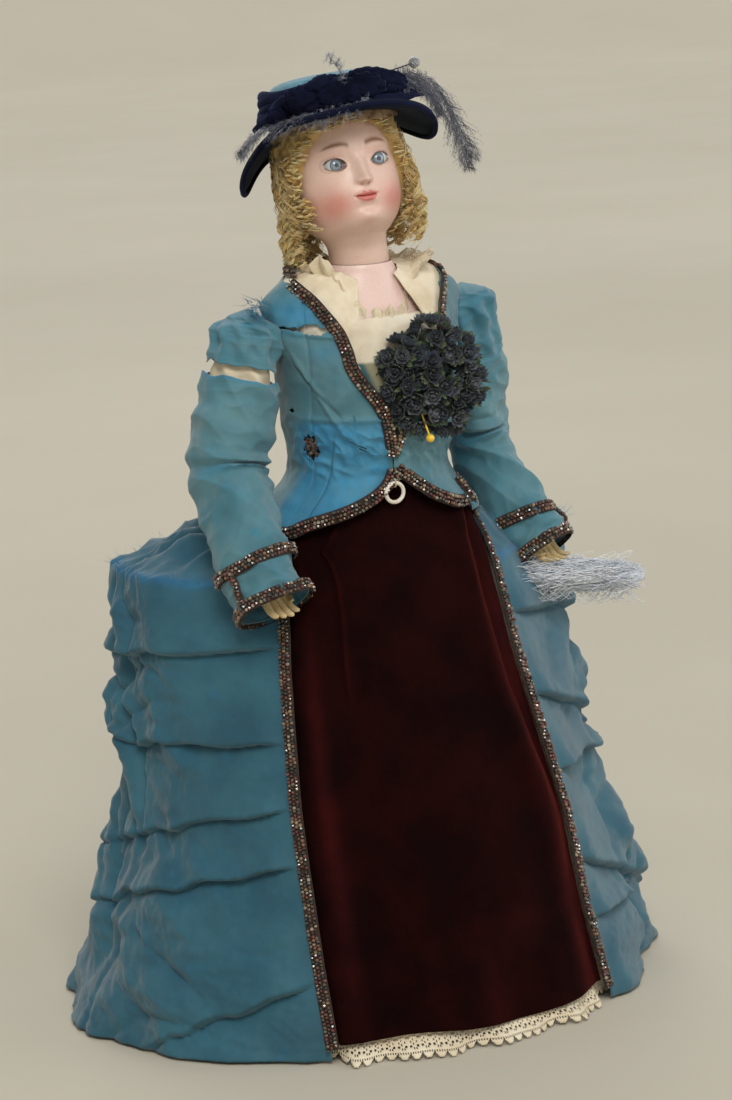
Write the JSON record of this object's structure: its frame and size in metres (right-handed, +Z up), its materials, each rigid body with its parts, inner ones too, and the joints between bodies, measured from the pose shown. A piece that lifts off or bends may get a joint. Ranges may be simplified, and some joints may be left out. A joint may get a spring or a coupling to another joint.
{
  "type": "bisque-headed fashion doll in bustle dress",
  "caption": "Standing costume doll with swivel bisque head, jointed leather limbs, draped silk bustle dress, beaded velvet front panel, plumed hat and a hidden waist-clip stand.",
  "frame": {"origin": "on the resting plane, at the centre of the stand base, under the neck", "axes": "+Z up along the spine, -Y the way the doll faces, +X towards the doll's own left"},
  "size_m": [0.292, 0.254, 0.4404],
  "materials": {
    "bisque": "matt unglazed porcelain, painted",
    "kid_leather": "soft aged kid, stitched",
    "eye_glass": "polished, opaque",
    "cork": "raw cork",
    "mohair": "curled mohair",
    "black_felt": "worn felt",
    "teal_weave": "woven, worn",
    "navy_velvet": "velvet ribbon",
    "grey_plume": "ostrich feather",
    "cut_steel": "faceted steel",
    "silk": "silk taffeta, worn",
    "burgundy_velvet": "silk velvet pile",
    "glass_beads": "faceted glass beads on braid",
    "cream_cotton": "cotton and net lace",
    "flower_paper": "dyed paper petals",
    "yellow_glass": "polished glass",
    "thread": "waxed thread",
    "bone": "turned bone, satin",
    "feather": "soft feather and floss",
    "boot_leather": "brown leather",
    "sole_leather": "raw sole leather",
    "stand_wood": "turned, waxed"
  },
  "bodies": {
    "dressed_torso": {"bodice": "silk", "bodice_neck_trim": "glass_beads", "bustle_pad": "cream_cotton", "chemisette": "cream_cotton", "collar_lace": "cream_cotton", "corsage_bouquet": "flower_paper", "corsage_pin": "yellow_glass", "drape_left": "silk", "drape_right": "silk", "neck_socket_lining": "kid_leather", "peplum": "silk", "peplum_trim": "glass_beads", "petticoat": "cream_cotton", "petticoat_lace": "cream_cotton", "ring_loop": "thread", "shoulder_plate": "bisque", "skirt_front_panel": "burgundy_velvet", "skirt_train": "silk", "skirt_trim_left": "glass_beads", "skirt_trim_right": "glass_beads", "skirt_waistband": "silk", "stand_base": "stand_wood", "stand_clip": "cut_steel", "stand_rod": "cut_steel", "torso": "kid_leather", "underskirt": "silk"},
    "waist_ring": {"waist_ring": "bone"},
    "head": {"head": "bisque", "eye_right": "eye_glass", "eye_left": "eye_glass", "cork_pate": "cork", "wig": "mohair", "hat_crown": "teal_weave", "hat_brim": "black_felt", "hat_bow": "navy_velvet", "hat_plume_right": "grey_plume", "hat_plume_left": "grey_plume", "hat_pin": "cut_steel", "neck_bolt": "cut_steel", "neck_spring": "cut_steel", "neck_washer": "cut_steel"},
    "upper_arm_right": {"upper_arm_right": "kid_leather", "upper_sleeve_right": "silk"},
    "forearm_right": {"forearm_right": "kid_leather", "lower_sleeve_right": "silk", "cuff_trim_right": "glass_beads"},
    "thigh_right": {"thigh_right": "kid_leather"},
    "lower_leg_right": {"lower_leg_right": "kid_leather", "boot_right": "boot_leather", "boot_sole_right": "sole_leather"},
    "upper_arm_left": {"upper_arm_left": "kid_leather", "upper_sleeve_left": "silk"},
    "forearm_left": {"forearm_left": "kid_leather", "lower_sleeve_left": "silk", "cuff_trim_left": "glass_beads", "feather_bundle": "feather"},
    "thigh_left": {"thigh_left": "kid_leather"},
    "lower_leg_left": {"lower_leg_left": "kid_leather", "boot_left": "boot_leather", "boot_sole_left": "sole_leather"}
  },
  "joints": [
    {"name": "neck_swivel", "type": "hinge", "parent": "dressed_torso", "child": "head", "pos_m": [0, 0, 0.35], "axis": [0, 0, 1], "range_deg": [-60, 60]},
    {"name": "waist_ring_swing", "type": "hinge", "parent": "dressed_torso", "child": "waist_ring", "pos_m": [-0.0064, -0.0358, 0.2504], "axis": [-1, 0, 0], "range_deg": [0, 35]},
    {"name": "shoulder_right", "type": "hinge", "parent": "dressed_torso", "child": "upper_arm_right", "pos_m": [-0.057, 0.003, 0.318], "axis": [-1, 0, 0], "range_deg": [0, 60]},
    {"name": "elbow_right", "type": "hinge", "parent": "upper_arm_right", "child": "forearm_right", "pos_m": [-0.0715, 0, 0.258], "axis": [-1, 0, 0], "range_deg": [0, 40]},
    {"name": "shoulder_left", "type": "hinge", "parent": "dressed_torso", "child": "upper_arm_left", "pos_m": [0.0555, 0.004, 0.318], "axis": [-1, 0, 0], "range_deg": [0, 60]},
    {"name": "elbow_left", "type": "hinge", "parent": "upper_arm_left", "child": "forearm_left", "pos_m": [0.062, 0.011, 0.258], "axis": [-0.8638, -0.5039, 0], "range_deg": [0, 40]},
    {"name": "hip_right", "type": "hinge", "parent": "dressed_torso", "child": "thigh_right", "pos_m": [-0.017, 0.002, 0.188], "axis": [-1, 0, 0], "range_deg": [-8, 12]},
    {"name": "knee_right", "type": "hinge", "parent": "thigh_right", "child": "lower_leg_right", "pos_m": [-0.017, 0.002, 0.112], "axis": [1, 0, 0], "range_deg": [0, 40]},
    {"name": "hip_left", "type": "hinge", "parent": "dressed_torso", "child": "thigh_left", "pos_m": [0.017, 0.002, 0.188], "axis": [-1, 0, 0], "range_deg": [-8, 12]},
    {"name": "knee_left", "type": "hinge", "parent": "thigh_left", "child": "lower_leg_left", "pos_m": [0.017, 0.002, 0.112], "axis": [1, 0, 0], "range_deg": [0, 40]}
  ]
}
